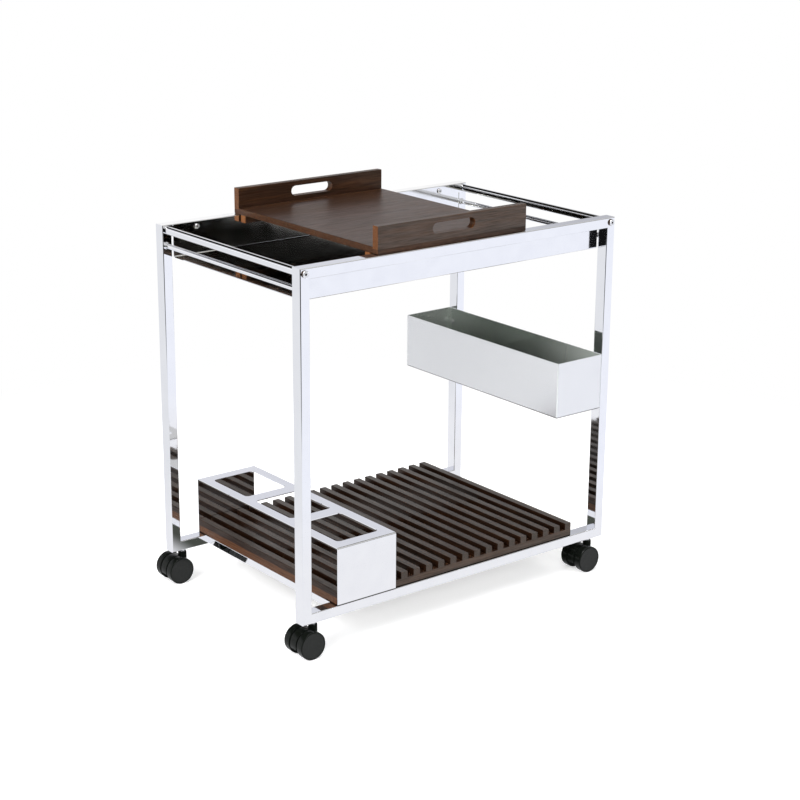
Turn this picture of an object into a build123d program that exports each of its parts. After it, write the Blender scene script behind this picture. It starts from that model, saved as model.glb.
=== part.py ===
from build123d import *
import os

# Frame of rectangular tube, millimetres
FRAME_LENGTH = 750.0        # outside, along X
FRAME_DEPTH = 474.0         # outside, along Y
FRAME_HEIGHT = 664.0        # underside of the bottom rails to the top of the top rails
TUBE = 20.0                 # side of the tube in the plane of a loop
TUBE_DEPTH = 25.0           # side of the tube along Y
TUBE_WALL = 1.5
TUBE_CORNER = 1.5

# Bars that join the front and back loops
END_RAIL_WIDTH = 12.0
END_RAIL_HEIGHT = 15.0
END_RAIL_CORNER = 5.0
PLUG_LENGTH = 16.0
ROD_DIAMETER = 10.0
ROD_DROP = 40.5             # rod axis below the top of the frame
ROD_SPIGOT = 6.0            # length of rod held inside each leg
FERRULE_DIAMETER = 14.0
FERRULE_LENGTH = 4.0
CROSS_BAR = 15.0
BAR_WALL = 1.2

# Bent chromed sheet
SHEET = 1.5
BEND = 1.5                  # inside bend radius
PAN_DEPTH = 64.0            # top of the frame to the underside of the pan
PAN_DROP = 1.0              # edge of the pan below the top of the frame
PAN_END_GAP = 2.5
CADDY_WIDTH = 118.0
CADDY_HEIGHT = 112.0
CADDY_LIFT = 277.0          # underside of the caddy above the underside of the frame
RACK_LENGTH = 135.0
RACK_HEIGHT = 113.0
WELL_SIDE = 20.0            # plate left beside the wells, along X
WELL_END = 27.0             # plate left at the front and the back
WELL_BRIDGE = 30.0          # plate left between two wells
WELL_CORNER = 8.0
WELL_COUNT = 3

# Slatted deck
DECK_LEFT_GAP = 58.0        # left legs to the deck
DECK_RIGHT_GAP = 67.0       # deck to the right legs
SLAT_COUNT = 20
SLAT_WIDTH = 15.0
SLAT_HEIGHT = 13.0
SLAT_ROUND = 1.0
BATTEN_HEIGHT = 15.0
BATTEN_REACH = 12.5         # batten beyond the inner face of the bottom rail

# Serving tray
TRAY_LENGTH = 350.0
TRAY_SETBACK = 8.0          # front of the frame to the front of the tray
TRAY_LEFT_GAP = 154.0       # left legs to the tray, as parked
BASE_THICKNESS = 12.0
END_BOARD_THICKNESS = 15.0
END_BOARD_HEIGHT = 39.0
HAND_HOLE_LENGTH = 100.0
HAND_HOLE_HEIGHT = 20.0
BOARD_ROUND = 1.5
BOARD_HOUSING = 3.0         # end boards let into the base
CLEAT_WIDTH = 15.0
CLEAT_HEIGHT = 14.0

# Twin-wheel casters
CASTER_INSET = 30.0         # stem axis from the end of the frame
CASTER_TRAIL = 18.0         # axle behind the stem axis
WHEEL_DIAMETER = 54.0
WHEEL_WIDTH = 16.0
WHEEL_TOP_GAP = 10.0        # wheel to the underside of the frame
WHEEL_EDGE = 3.0            # outer rounding of the tread
WHEEL_INNER_EDGE = 2.0
WHEEL_DISH = 0.6            # depth of the round panel in the outer face
WHEEL_LIP = 0.5             # flat ring between the rounding and that panel
WHEEL_FACE = 2.5            # material between the axle hole and the panel
HOOD_WIDTH = 23.0
HOOD_INSET = 1.5            # hood below the tread
HOOD_SKIRT = 8.0            # hood below the axle
HOOD_ROUND = 2.0
NECK_DIAMETER = 17.0
STEM_DIAMETER = 10.0
STEM_REACH = 24.0           # stem inside the hood
COLLAR_DIAMETER = 15.0
COLLAR_HEIGHT = 2.0
AXLE_DIAMETER = 6.0
SOCKET_PLAY = 1.0           # bush to the sides of the rail

# Screws
CORNER_SHANK = 6.0
CORNER_HEAD = 13.0
CORNER_HEAD_HEIGHT = 4.0
SHEET_SHANK = 5.0
SHEET_HEAD = 10.0
SHEET_HEAD_HEIGHT = 2.8
SHEET_GRIP = 8.0            # shank beyond the sheet
WOOD_SHANK = 4.0
WOOD_HEAD = 8.0
WOOD_HEAD_HEIGHT = 2.4
WOOD_GRIP = 10.0            # shank inside the wood
HEAD_EDGE = 0.4             # rounding of the head over the head height
KEY_WIDTH = 0.4             # hexagon across corners over the head diameter
KEY_DEPTH = 0.6             # hexagon depth over the head height
PAN_SCREW_INSET = 55.0      # from the legs
CADDY_SCREW_SPREAD = 52.0   # between the two screws in a leg

# Clearances
FIT = 0.1                   # radial, fixed pieces
RUN = 0.05                  # radial, turning pieces
SLIDE = 0.2                 # under the tray and the rack
SIDE_PLAY = 1.0             # beside the rack and the cleats
WHEEL_GAP = 0.75            # wheel to hood
SWIVEL_GAP = 0.4            # hood to collar, stem end to bore

# Places that follow from the sizes
CORNER_SCREW = (CORNER_SHANK, CORNER_HEAD, CORNER_HEAD_HEIGHT)
SHEET_SCREW = (SHEET_SHANK, SHEET_HEAD, SHEET_HEAD_HEIGHT)
WOOD_SCREW = (WOOD_SHANK, WOOD_HEAD, WOOD_HEAD_HEIGHT)
CORNER_LENGTH = TUBE_DEPTH + PLUG_LENGTH
SHEET_LENGTH = SHEET + SHEET_GRIP
DECK_SCREW_LENGTH = CROSS_BAR + WOOD_GRIP
TRAY_SCREW_LENGTH = BASE_THICKNESS + WOOD_GRIP
WHEEL_RADIUS = WHEEL_DIAMETER / 2
AXLE_HOLE = WHEEL_WIDTH - WHEEL_DISH - WHEEL_FACE
OVERHANG = max(0.0, CASTER_TRAIL + WHEEL_RADIUS - CASTER_INSET)
LEFT = OVERHANG / 2 - FRAME_LENGTH / 2
RIGHT = LEFT + FRAME_LENGTH
MIDDLE = (LEFT + RIGHT) / 2
FRONT = -FRAME_DEPTH / 2
BACK = FRAME_DEPTH / 2
BASE = WHEEL_DIAMETER + WHEEL_TOP_GAP
TOP = BASE + FRAME_HEIGHT
SHELF = BASE + TUBE
DECK_SETBACK = SHEET + SIDE_PLAY
DECK_LENGTH = FRAME_LENGTH - 2 * TUBE - DECK_LEFT_GAP - DECK_RIGHT_GAP
DECK_DEPTH = FRAME_DEPTH - 2 * DECK_SETBACK
DECK_LEFT = LEFT + TUBE + DECK_LEFT_GAP
SLAT_PITCH = (DECK_LENGTH - SLAT_WIDTH) / (SLAT_COUNT - 1)
BATTEN_WIDTH = TUBE_DEPTH - DECK_SETBACK + BATTEN_REACH
RACK_MIDDLE = DECK_LEFT + RACK_LENGTH / 2
WELL_LENGTH = RACK_LENGTH - 2 * WELL_SIDE
WELL_DEPTH = (FRAME_DEPTH - 2 * WELL_END - (WELL_COUNT - 1) * WELL_BRIDGE) / WELL_COUNT
TRAY_DEPTH = FRAME_DEPTH - 2 * TRAY_SETBACK
TRAY_MIDDLE = LEFT + TUBE + TRAY_LEFT_GAP + TRAY_LENGTH / 2
TRAY_FLOOR = TOP + SLIDE + BASE_THICKNESS
TRAY_END_Y = TRAY_DEPTH / 2 - END_BOARD_THICKNESS / 2
TRAY_SCREW_X = (HAND_HOLE_LENGTH + TRAY_LENGTH) / 4
CLEAT_Y = FRAME_DEPTH / 2 - TUBE_DEPTH - SHEET - SHEET_HEAD_HEIGHT - SIDE_PLAY - CLEAT_WIDTH / 2
CORNER_X = (LEFT + TUBE / 2, RIGHT - TUBE / 2)
STEM_X = (LEFT + CASTER_INSET, RIGHT - CASTER_INSET)
RAIL_Y = (FRONT + TUBE_DEPTH / 2, BACK - TUBE_DEPTH / 2)
CROSS_X = (DECK_LEFT + CROSS_BAR / 2, DECK_LEFT + DECK_LENGTH - CROSS_BAR / 2)
BATTEN_X = (DECK_LEFT + BATTEN_WIDTH / 2, DECK_LEFT + DECK_LENGTH - BATTEN_WIDTH / 2)
BATTEN_Y = (DECK_DEPTH - BATTEN_WIDTH) / 2
DECK_SCREW_Y = FRAME_DEPTH / 2 - TUBE_DEPTH - BATTEN_REACH / 2
PAN_SCREW_X = (LEFT + TUBE + PAN_SCREW_INSET, RIGHT - TUBE - PAN_SCREW_INSET)
CADDY_SCREW_MIDDLE = BASE + CADDY_LIFT + CADDY_HEIGHT / 2
ALONG_Y = Rot(-90, 0, 0)    # turns +Z to +Y
TOWARDS_FRONT = Rot(90, 0, 0)


def group(solids):
    """Several separate solids kept as one piece of the list."""
    return Compound(children=list(solids))


def centred(count, step):
    """Evenly spaced places about zero."""
    return [(i - (count - 1) / 2) * step for i in range(count)]


def rod(radius, length):
    """Round bar along Z, from the origin up."""
    return Cylinder(radius, length, align=(Align.CENTER, Align.CENTER, Align.MIN))


def tube_section(width, height, wall, corner):
    """Rectangular tube section with rounded corners."""
    inside = Rectangle(width - 2 * wall, height - 2 * wall)
    if corner > wall:
        inside = fillet(inside.vertices(), corner - wall)
    return RectangleRounded(width, height, corner) - inside


def mitred_tube(length):
    """Frame tube along X with both ends cut at 45 degrees; its long side faces down."""
    section = tube_section(TUBE_DEPTH, TUBE, TUBE_WALL, TUBE_CORNER)
    bar = extrude(Plane.YZ * section, length / 2, both=True)
    long_end, side = length / 2, TUBE / 2
    short_end = long_end - TUBE
    corners = [(-long_end, -side), (long_end, -side), (short_end, side), (-short_end, side)]
    keep = make_face(Polyline(corners, close=True))
    return bar & extrude(Plane.XZ * keep, TUBE_DEPTH, both=True)


def channel(width, height):
    """Bent sheet channel section, open upwards, its underside on the origin."""
    outer = Pos(0, height / 2) * Rectangle(width, height)
    inner = Pos(0, (height + SHEET) / 2) * Rectangle(width - 2 * SHEET, height - SHEET)
    outer = fillet(outer.vertices().group_by(Axis.Y)[0], BEND + SHEET)
    inner = fillet(inner.vertices().group_by(Axis.Y)[0], BEND)
    return outer - inner


def socket_screw(size, length):
    """Flat socket-head screw; the head sits on the origin and the shank points down."""
    shank, head, height = size
    radius, bolt = head / 2, shank / 2
    side = [(0, height), (radius, height), (radius, 0), (bolt, 0), (bolt, -length), (0, -length)]
    section = make_face(Polyline(side, close=True))
    rim = section.vertices().group_by(Axis.X)[-1].sort_by(Axis.Y)[-1]
    body = revolve(Plane.XZ * fillet(rim, HEAD_EDGE * height), Axis.Z)
    key = extrude(RegularPolygon(radius * KEY_WIDTH, 6), height)
    return body - Pos(0, 0, height * (1 - KEY_DEPTH)) * key


def countersunk_screw(size, length):
    """Countersunk screw; its flat face is on the origin and the shank points down."""
    shank, head, height = size
    bolt = shank / 2
    outline = Polyline((0, 0), (head / 2, 0), (bolt, -height), (bolt, -length), (0, -length), close=True)
    return revolve(Plane.XZ * make_face(outline), Axis.Z)


def corner_screw_places():
    """Head positions and turns of the screws through the leg tops, heads outward."""
    rows = ((FRONT, TOWARDS_FRONT), (BACK, ALONG_Y))
    return [Pos(x, y, TOP - TUBE / 2) * turn for y, turn in rows for x in CORNER_X]


def pan_screw_places():
    """Head positions and turns of the screws in the pan's walls, heads inward."""
    reach = FRAME_DEPTH / 2 - TUBE_DEPTH - SHEET
    rows = ((-reach, ALONG_Y), (reach, TOWARDS_FRONT))
    return [Pos(x, y, TOP - TUBE / 2) * turn for y, turn in rows for x in PAN_SCREW_X]


def caddy_screw_places():
    """Head positions and turns of the screws in the caddy's right wall, heads inward."""
    x = RIGHT - TUBE - SHEET
    heights = [CADDY_SCREW_MIDDLE + z for z in centred(2, CADDY_SCREW_SPREAD)]
    return [Pos(x, y, z) * Rot(0, -90, 0) for y in RAIL_Y for z in heights]


def deck_screw_places():
    """Head positions and turns of the screws under the cross bars, heads down."""
    rows = (-DECK_SCREW_Y, DECK_SCREW_Y)
    return [Pos(x, y, SHELF - CROSS_BAR) * Rot(180, 0, 0) for x in CROSS_X for y in rows]


def tray_screw_places():
    """Head positions and turns of the screws under the tray, heads down."""
    columns = (-TRAY_SCREW_X, TRAY_SCREW_X)
    rows = (-TRAY_END_Y, TRAY_END_Y)
    return [Pos(TRAY_MIDDLE + x, y, TOP + SLIDE) * Rot(180, 0, 0) for x in columns for y in rows]


def shank_holes(places, size, length):
    """Clearance holes for the shanks of screws at the given places."""
    depth = length + FIT
    hole = Pos(0, 0, -depth) * rod(size[0] / 2 + FIT, 2 * depth)
    return [place * hole for place in places]


def leg(side, y):
    """Upright tube: side -1 is the left end, 1 the right end."""
    x = CORNER_X[0] if side < 0 else CORNER_X[1]
    body = Pos(x, y, BASE + FRAME_HEIGHT / 2) * Rot(0, -90 * side, 0) * mitred_tube(FRAME_HEIGHT)
    inward = ALONG_Y if y < 0 else TOWARDS_FRONT
    body -= Pos(x, y, TOP - ROD_DROP) * inward * rod(ROD_DIAMETER / 2 + FIT, TUBE_DEPTH)
    body -= shank_holes(corner_screw_places(), CORNER_SCREW, CORNER_LENGTH)
    return body - shank_holes(caddy_screw_places(), SHEET_SCREW, SHEET_LENGTH)


def top_rail(y):
    """Top tube of a loop, its long side up."""
    body = Pos(MIDDLE, y, TOP - TUBE / 2) * Rot(180, 0, 0) * mitred_tube(FRAME_LENGTH)
    body -= shank_holes(corner_screw_places(), CORNER_SCREW, CORNER_LENGTH)
    return body - shank_holes(pan_screw_places(), SHEET_SCREW, SHEET_LENGTH)


def bottom_rail(y):
    """Bottom tube of a loop, drilled for the caster stems."""
    body = Pos(MIDDLE, y, BASE + TUBE / 2) * mitred_tube(FRAME_LENGTH)
    hole = rod(STEM_DIAMETER / 2 + FIT, TUBE)
    return body - [Pos(x, y, BASE - TUBE / 2) * hole for x in STEM_X]


def end_rail(x):
    """Small tube between the leg tops at one end of the frame."""
    length = FRAME_DEPTH - 2 * TUBE_DEPTH
    section = tube_section(END_RAIL_WIDTH, END_RAIL_HEIGHT, BAR_WALL, END_RAIL_CORNER)
    return Pos(x, 0, TOP - TUBE / 2) * extrude(Plane.XZ * section, length / 2, both=True)


def end_rail_plugs():
    """Threaded plugs with bevelled corners in the ends of the end rails."""
    width = END_RAIL_WIDTH - 2 * (BAR_WALL + FIT)
    height = END_RAIL_HEIGHT - 2 * (BAR_WALL + FIT)
    section = chamfer(Rectangle(width, height).vertices(), END_RAIL_CORNER - BAR_WALL)
    block = extrude(Plane.XZ * section, PLUG_LENGTH / 2, both=True)
    reach = FRAME_DEPTH / 2 - TUBE_DEPTH - PLUG_LENGTH / 2
    holes = shank_holes(corner_screw_places(), CORNER_SCREW, CORNER_LENGTH)
    return group(Pos(x, y, TOP - TUBE / 2) * block - holes for x in CORNER_X for y in (-reach, reach))


def guard_rod(x):
    """Round rod below an end rail, its ends held inside the legs."""
    length = FRAME_DEPTH - 2 * (TUBE_DEPTH - ROD_SPIGOT)
    return Pos(x, 0, TOP - ROD_DROP) * ALONG_Y * Cylinder(ROD_DIAMETER / 2, length)


def rod_ferrules():
    """Rings that cover the holes where the guard rods enter the legs."""
    ring = Cylinder(FERRULE_DIAMETER / 2, FERRULE_LENGTH) - Cylinder(ROD_DIAMETER / 2 + FIT, FERRULE_LENGTH)
    reach = FRAME_DEPTH / 2 - TUBE_DEPTH - FERRULE_LENGTH / 2
    return group(Pos(x, y, TOP - ROD_DROP) * ALONG_Y * ring for x in CORNER_X for y in (-reach, reach))


def cross_bar(x):
    """Small tube between the bottom rails, drilled for the deck screws."""
    length = FRAME_DEPTH - 2 * TUBE_DEPTH
    section = tube_section(CROSS_BAR, CROSS_BAR, BAR_WALL, TUBE_CORNER)
    body = Pos(x, 0, SHELF - CROSS_BAR / 2) * extrude(Plane.XZ * section, length / 2, both=True)
    return body - shank_holes(deck_screw_places(), WOOD_SCREW, DECK_SCREW_LENGTH)


def top_pan():
    """Channel of polished sheet between the top rails, open at both ends."""
    length = FRAME_LENGTH - 2 * (TUBE + PAN_END_GAP)
    section = channel(FRAME_DEPTH - 2 * TUBE_DEPTH, PAN_DEPTH - PAN_DROP)
    body = Pos(MIDDLE, 0, TOP - PAN_DEPTH) * extrude(Plane.YZ * section, length / 2, both=True)
    return body - shank_holes(pan_screw_places(), SHEET_SCREW, SHEET_LENGTH)


def caddy():
    """Open-topped box of sheet with folded corners, against the right legs."""
    def tub(shrink, radius):
        size = RectangleRounded(CADDY_WIDTH - 2 * shrink, FRAME_DEPTH - 2 * shrink, radius)
        block = Pos(0, 0, shrink) * extrude(size, CADDY_HEIGHT)
        return fillet(block.edges().group_by(Axis.Z)[0], radius)
    box = tub(0.0, BEND + SHEET) - tub(SHEET, BEND)
    body = Pos(RIGHT - TUBE - CADDY_WIDTH / 2, 0, BASE + CADDY_LIFT) * box
    return body - shank_holes(caddy_screw_places(), SHEET_SCREW, SHEET_LENGTH)


def bottle_rack():
    """Bridge of polished sheet over the deck, with a row of wells for bottles."""
    section = Rot(0, 0, 180) * channel(FRAME_DEPTH, RACK_HEIGHT)
    bridge = extrude(Plane.YZ * section, RACK_LENGTH / 2, both=True)
    well = extrude(RectangleRounded(WELL_LENGTH, WELL_DEPTH, WELL_CORNER), RACK_HEIGHT / 2, both=True)
    bridge -= [Pos(0, y, 0) * well for y in centred(WELL_COUNT, WELL_DEPTH + WELL_BRIDGE)]
    return Pos(RACK_MIDDLE, 0, SHELF + SLIDE + RACK_HEIGHT) * bridge


def deck_slats():
    """Row of slats with eased top edges, along Y."""
    slat = Box(SLAT_WIDTH, DECK_DEPTH, SLAT_HEIGHT, align=(Align.MIN, Align.CENTER, Align.MIN))
    top_edges = slat.edges().filter_by(Axis.Y).group_by(Axis.Z)[-1]
    slat = fillet(top_edges, SLAT_ROUND)
    seat = SHELF + BATTEN_HEIGHT
    return group(Pos(DECK_LEFT + i * SLAT_PITCH, 0, seat) * slat for i in range(SLAT_COUNT))


def long_batten(y, length):
    """Strip along X under the slats, drilled for the deck screws."""
    strip = Box(length, BATTEN_WIDTH, BATTEN_HEIGHT)
    body = Pos(DECK_LEFT + DECK_LENGTH / 2, y, SHELF + BATTEN_HEIGHT / 2) * strip
    return body - shank_holes(deck_screw_places(), WOOD_SCREW, DECK_SCREW_LENGTH)


def end_batten(x):
    """Strip along Y between the front and back battens, under an end slat."""
    strip = Box(BATTEN_WIDTH, DECK_DEPTH - 2 * BATTEN_WIDTH, BATTEN_HEIGHT)
    return Pos(x, 0, SHELF + BATTEN_HEIGHT / 2) * strip


def tray_base():
    """Base board of the tray, housed for the end boards and countersunk from below."""
    block = Box(TRAY_LENGTH, TRAY_DEPTH, BASE_THICKNESS, align=(Align.CENTER, Align.CENTER, Align.MIN))
    block = fillet(block.edges().filter_by(Axis.Y), BOARD_ROUND)
    housing = Box(TRAY_LENGTH, END_BOARD_THICKNESS, 2 * BOARD_HOUSING)
    block -= [Pos(0, y, BASE_THICKNESS) * housing for y in (-TRAY_END_Y, TRAY_END_Y)]
    body = Pos(TRAY_MIDDLE, 0, TOP + SLIDE) * block
    shank, head, height = WOOD_SCREW
    hole = countersunk_screw((shank + 2 * FIT, head + 2 * FIT, height), TRAY_SCREW_LENGTH)
    return body - [place * hole for place in tray_screw_places()]


def end_board(y):
    """Upright end of the tray with a rounded hand-hole, let into the base."""
    height = END_BOARD_HEIGHT + BOARD_HOUSING
    board = Box(TRAY_LENGTH, END_BOARD_THICKNESS, height)
    board = fillet(board.edges().filter_by(Axis.X).group_by(Axis.Z)[-1], BOARD_ROUND)
    slot = Pos(0, BOARD_HOUSING / 2) * SlotOverall(HAND_HOLE_LENGTH, HAND_HOLE_HEIGHT)
    board -= extrude(Plane.XZ * slot, END_BOARD_THICKNESS, both=True)
    body = Pos(TRAY_MIDDLE, y, TRAY_FLOOR + END_BOARD_HEIGHT - height / 2) * board
    return body - shank_holes(tray_screw_places(), WOOD_SCREW, TRAY_SCREW_LENGTH)


def cleat(y):
    """Strip under the tray that keeps it between the top rails."""
    z = TOP + SLIDE - CLEAT_HEIGHT / 2
    return Pos(TRAY_MIDDLE, y, z) * Box(TRAY_LENGTH, CLEAT_WIDTH, CLEAT_HEIGHT)


def caster_stem():
    """Fixed stem with a collar under the rail; the hood turns on its lower end."""
    up = TUBE - TUBE_WALL - FIT
    down = COLLAR_HEIGHT + SWIVEL_GAP + STEM_REACH
    collar = Pos(0, 0, -COLLAR_HEIGHT) * rod(COLLAR_DIAMETER / 2, COLLAR_HEIGHT)
    return Pos(0, 0, BASE) * (Pos(0, 0, -down) * rod(STEM_DIAMETER / 2, down + up) + collar)


def caster_sockets():
    """Threaded bushes inside the bottom rails."""
    height = TUBE - 2 * TUBE_WALL
    bush = rod(TUBE / 2 - TUBE_WALL - SOCKET_PLAY, height) - rod(STEM_DIAMETER / 2 + FIT, height)
    return group(Pos(x, y, BASE + TUBE_WALL) * bush for x in STEM_X for y in RAIL_Y)


def caster_hood():
    """Body between the wheels: a round cowl over the axle and a neck on the stem."""
    radius = WHEEL_RADIUS - HOOD_INSET
    cowl = TOWARDS_FRONT * Cylinder(radius, HOOD_WIDTH)
    cowl = fillet(cowl.edges().filter_by(GeomType.CIRCLE), HOOD_ROUND)
    below = Pos(0, 0, -HOOD_SKIRT - WHEEL_RADIUS) * Box(WHEEL_DIAMETER, WHEEL_DIAMETER, WHEEL_DIAMETER)
    cowl = Pos(-CASTER_TRAIL, 0, WHEEL_RADIUS) * (cowl - below)
    neck_top = BASE - COLLAR_HEIGHT - SWIVEL_GAP
    neck_base = WHEEL_RADIUS - HOOD_SKIRT
    neck = Pos(0, 0, neck_base) * rod(NECK_DIAMETER / 2, neck_top - neck_base)
    bore = Pos(0, 0, neck_top - STEM_REACH - SWIVEL_GAP) * rod(STEM_DIAMETER / 2 + RUN, WHEEL_DIAMETER)
    axle_hole = ALONG_Y * Cylinder(AXLE_DIAMETER / 2 + RUN, 2 * HOOD_WIDTH)
    return cowl + neck - bore - Pos(-CASTER_TRAIL, 0, WHEEL_RADIUS) * axle_hole


def caster_axle():
    """Pin through the hood that carries both wheels."""
    length = HOOD_WIDTH + 2 * (WHEEL_GAP + AXLE_HOLE - SWIVEL_GAP)
    return Pos(-CASTER_TRAIL, 0, WHEEL_RADIUS) * ALONG_Y * Cylinder(AXLE_DIAMETER / 2, length)


def caster_wheel(side):
    """Moulded wheel with a dished outer face: side -1 faces the front, 1 the back."""
    bore = AXLE_DIAMETER / 2 + RUN
    panel = WHEEL_RADIUS - WHEEL_EDGE - WHEEL_LIP
    floor = WHEEL_WIDTH - WHEEL_DISH
    tread = [(bore, 0), (WHEEL_RADIUS, 0), (WHEEL_RADIUS, WHEEL_WIDTH), (panel, WHEEL_WIDTH)]
    middle = [(panel - WHEEL_DISH, floor), (0, floor), (0, AXLE_HOLE), (bore, AXLE_HOLE)]
    section = make_face(Polyline(tread + middle, close=True))
    for corner, radius in ((-1, WHEEL_EDGE), (0, WHEEL_INNER_EDGE)):
        rim = section.vertices().group_by(Axis.X)[-1].sort_by(Axis.Y)
        section = fillet(rim[corner], radius)
    wheel = Pos(0, 0, HOOD_WIDTH / 2 + WHEEL_GAP) * revolve(Plane.XZ * section, Axis.Z)
    return Pos(-CASTER_TRAIL, 0, WHEEL_RADIUS) * (ALONG_Y if side > 0 else TOWARDS_FRONT) * wheel


def build():
    """Every piece by name."""
    parts = {}
    for row, y, side in (("front", RAIL_Y[0], -1), ("back", RAIL_Y[1], 1)):
        parts[row + "_left_leg"] = leg(-1, y)
        parts[row + "_right_leg"] = leg(1, y)
        parts[row + "_top_rail"] = top_rail(y)
        parts[row + "_bottom_rail"] = bottom_rail(y)
        parts[row + "_batten"] = long_batten(side * BATTEN_Y, DECK_LENGTH)
        parts["tray_" + row + "_board"] = end_board(side * TRAY_END_Y)
        parts["tray_" + row + "_cleat"] = cleat(side * CLEAT_Y)
        for end, x in zip(("left", "right"), STEM_X):
            name = row + "_" + end + "_"
            stand = Pos(x, y, 0)
            parts[name + "stem"] = stand * caster_stem()
            parts[name + "hood"] = stand * caster_hood()
            parts[name + "axle"] = stand * caster_axle()
            parts[name + "outer_wheel"] = stand * caster_wheel(side)
            parts[name + "inner_wheel"] = stand * caster_wheel(-side)
    for end, x, bar_x, batten_x in zip(("left", "right"), CORNER_X, CROSS_X, BATTEN_X):
        parts[end + "_end_rail"] = end_rail(x)
        parts[end + "_guard_rod"] = guard_rod(x)
        parts[end + "_cross_bar"] = cross_bar(bar_x)
        parts[end + "_batten"] = end_batten(batten_x)
    parts["middle_batten"] = long_batten(0.0, DECK_LENGTH - 2 * BATTEN_WIDTH)
    parts["end_rail_plugs"] = end_rail_plugs()
    parts["rod_ferrules"] = rod_ferrules()
    parts["caster_sockets"] = caster_sockets()
    parts["top_pan"] = top_pan()
    parts["caddy"] = caddy()
    parts["bottle_rack"] = bottle_rack()
    parts["deck_slats"] = deck_slats()
    parts["tray_base"] = tray_base()
    corner_screw = socket_screw(CORNER_SCREW, CORNER_LENGTH)
    sheet_screw = socket_screw(SHEET_SCREW, SHEET_LENGTH)
    deck_screw = socket_screw(WOOD_SCREW, DECK_SCREW_LENGTH)
    tray_screw = countersunk_screw(WOOD_SCREW, TRAY_SCREW_LENGTH)
    parts["corner_screws"] = group(place * corner_screw for place in corner_screw_places())
    parts["pan_screws"] = group(place * sheet_screw for place in pan_screw_places())
    parts["caddy_screws"] = group(place * sheet_screw for place in caddy_screw_places())
    parts["deck_screws"] = group(place * deck_screw for place in deck_screw_places())
    parts["tray_screws"] = group(place * tray_screw for place in tray_screw_places())
    return parts


os.makedirs("parts", exist_ok=True)
for name, shape in build().items():
    export_step(shape, "parts/" + name + ".step")
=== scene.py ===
import math
from collections import namedtuple
from functools import reduce

import bpy
import numpy as np
from bpy.props import FloatProperty, FloatVectorProperty, PointerProperty
from mathutils import Matrix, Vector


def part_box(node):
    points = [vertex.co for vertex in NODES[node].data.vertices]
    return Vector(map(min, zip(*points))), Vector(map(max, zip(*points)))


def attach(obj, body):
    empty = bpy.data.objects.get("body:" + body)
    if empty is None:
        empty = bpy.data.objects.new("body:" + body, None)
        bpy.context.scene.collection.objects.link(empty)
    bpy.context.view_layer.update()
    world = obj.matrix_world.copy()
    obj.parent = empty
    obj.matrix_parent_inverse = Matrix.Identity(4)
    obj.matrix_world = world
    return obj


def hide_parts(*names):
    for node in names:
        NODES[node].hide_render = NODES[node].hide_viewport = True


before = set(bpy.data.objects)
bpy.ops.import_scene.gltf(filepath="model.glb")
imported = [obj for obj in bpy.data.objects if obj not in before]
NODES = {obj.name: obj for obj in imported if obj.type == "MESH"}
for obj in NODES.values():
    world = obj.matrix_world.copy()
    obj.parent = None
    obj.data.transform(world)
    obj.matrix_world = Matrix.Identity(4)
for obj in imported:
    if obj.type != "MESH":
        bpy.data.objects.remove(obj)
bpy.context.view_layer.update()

bl_info = {
    "name": "Service cart looks",
    "version": (1, 0, 0),
    "blender": (4, 5, 0),
    "location": "View3D > Sidebar > Cart",
    "description": "Finishes, casters, guard rods and studio for a chrome service cart",
    "category": "Object",
}

MM = 0.001
ROWS = ("front", "back")
ENDS = ("left", "right")
CASTERS = [f"{row}_{end}" for row in ROWS for end in ENDS]
WHEELS = ("outer", "inner")

# Nodes by finish.
TUBES = [f"{row}_{end}_leg" for row in ROWS for end in ENDS]
TUBES += [f"{row}_{level}_rail" for row in ROWS for level in ("top", "bottom")]
TUBES += [f"{end}_cross_bar" for end in ENDS]
LONG_BATTENS = [f"{place}_batten" for place in ("front", "middle", "back")]
END_BATTENS = [f"{end}_batten" for end in ENDS]
TRAY_CLEATS = [f"tray_{row}_cleat" for row in ROWS]
HARDWARE = ["end_rail_plugs", "caster_sockets", "deck_screws", "tray_screws"]
HARDWARE += [f"{caster}_{piece}" for caster in CASTERS for piece in ("stem", "axle")]

SLAT_COUNT = 20
SLAT_WIDTH = 15 * MM
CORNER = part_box("front_left_leg")[0]
# Painted shade along lower edges: its heights, and over what height it passes into the face above.
RACK_SHADE = 1.6 * MM
BATTEN_SHADE = 2.5 * MM
SHADE_BLUR = 0.4 * MM

# Lamps: name, place in metres, size in metres, property that holds the power.
LAMPS = (
    ("key_box", (-2.6, -0.9, 1.7), 1.6, "key_power"),
    ("top_box", (0.2, -0.2, 3.2), 2.2, "top_power"),
    ("front_box", (-0.6, -3.0, 1.2), 1.8, "front_power"),
)
LAMP_AIM = (0.0, 0.0, 0.4)
# Soft boxes as the chrome sees them: way to each, cosines of its outer and inner edge, level.
# The first two light the upper edges for the camera, and the others serve the other sides.
SOFT_BOXES = (
    ((0.62, 0.1, 0.78), 0.74, 0.88, 0.75),
    ((-0.33, -0.36, 0.87), 0.95, 0.98, 20.0),
    ((0.0, -0.85, 0.52), 0.6, 0.9, 0.7),
    ((-0.9, 0.0, 0.43), 0.68, 0.92, 0.62),
    ((0.9, 0.0, 0.43), 0.68, 0.92, 0.62),
    ((0.0, 0.0, 1.0), 0.8, 0.95, 0.6),
)
# Shaded floor under the deck, in metres: axis, where the shade starts, where it is full.
DECK_SHADE = (("X", -0.31, -0.22), ("X", 0.36, 0.28), ("Y", -0.24, -0.17), ("Y", 0.26, 0.18))
# Stage sheets, in metres: half width of the floor, then half width, place on Y and height of the backdrop.
FLOOR_REACH = 12.0
BACKDROP_REACH, BACKDROP_PLACE, BACKDROP_HEIGHT = 9.0, 4.0, 3.0
CAMERA_REACH = 50.0
SMOOTH = {"interpolation_type": "SMOOTHSTEP"}

# A screw's sizes: diameter and height of its head, diameter and length of its shank.
Screw = namedtuple("Screw", "head rise shank reach")


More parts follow.
